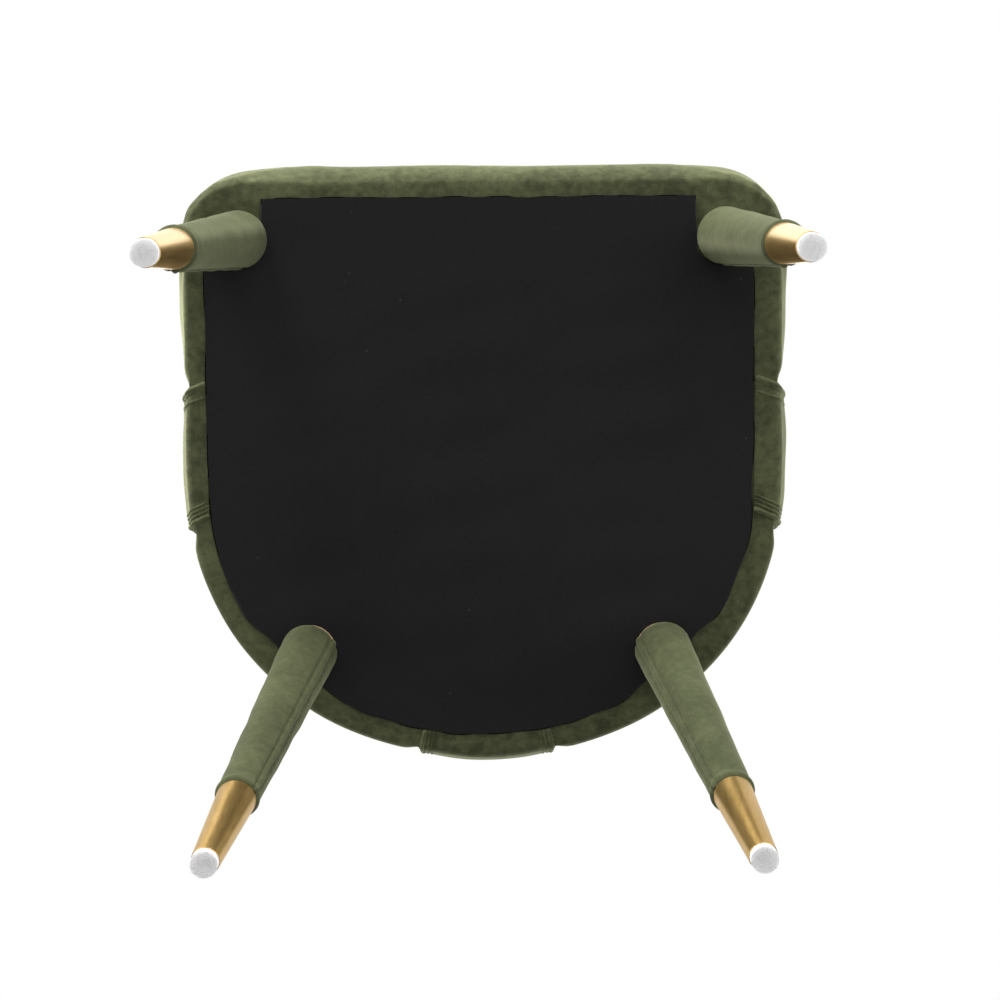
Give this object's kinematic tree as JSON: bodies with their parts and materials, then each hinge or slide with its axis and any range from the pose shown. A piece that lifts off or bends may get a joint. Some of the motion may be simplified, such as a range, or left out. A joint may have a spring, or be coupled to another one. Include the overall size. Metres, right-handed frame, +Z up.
{
  "type": "dining chair",
  "caption": "Velvet dining chair with a D-shaped padded seat, open barrel back on three uprights and splayed velvet legs with brass-coloured ends.",
  "frame": {"origin": "on the floor, under the middle of the chair's bounding box", "axes": "+Z up, -Y towards the chair's front edge, +X to the right when seen along +Y (from the front)"},
  "size_m": [0.542, 0.573, 0.79],
  "materials": {
    "velvet": "olive-green cut-pile velvet with a soft sheen",
    "dust_cloth": "black spun-bonded non-woven",
    "foam": "open-cell polyurethane foam",
    "plywood": "bare birch plywood",
    "beech": "bare beech",
    "brass": "satin brass-coloured, brushed lengthwise",
    "glide_nylon": "white nylon, satin",
    "steel": "zinc-plated steel"
  },
  "bodies": {
    "root": {"leg_core_front_left": "beech", "leg_sleeve_front_left": "velvet", "ferrule_front_left": "brass", "glide_front_left": "glide_nylon", "corner_block_front_left": "beech", "leg_core_front_right": "beech", "leg_sleeve_front_right": "velvet", "ferrule_front_right": "brass", "glide_front_right": "glide_nylon", "corner_block_front_right": "beech", "leg_core_rear_left": "beech", "leg_sleeve_rear_left": "velvet", "ferrule_rear_left": "brass", "glide_rear_left": "glide_nylon", "corner_block_rear_left": "beech", "leg_core_rear_right": "beech", "leg_sleeve_rear_right": "velvet", "ferrule_rear_right": "brass", "glide_rear_right": "glide_nylon", "corner_block_rear_right": "beech", "glide_nails": "steel", "hanger_bolts": "steel", "insert_nuts": "steel", "deck_screws": "steel", "post_bolts": "steel", "post_washers": "steel", "post_nuts": "steel", "band_screws": "steel", "post_strip_left": "steel", "post_strip_right": "steel", "post_strip_rear": "steel", "front_rail": "beech", "rear_rail": "beech", "side_rail_left": "beech", "side_rail_right": "beech", "seat_deck": "plywood", "back_shell": "plywood", "seat_foam": "foam", "back_foam": "foam", "back_wadding": "foam", "post_foam_left": "foam", "post_foam_right": "foam", "post_foam_rear": "foam", "seat_cover": "velvet", "back_cover": "velvet", "post_cover_left": "velvet", "post_cover_right": "velvet", "post_cover_rear": "velvet", "dust_cover": "dust_cloth"}
  },
  "joints": []
}
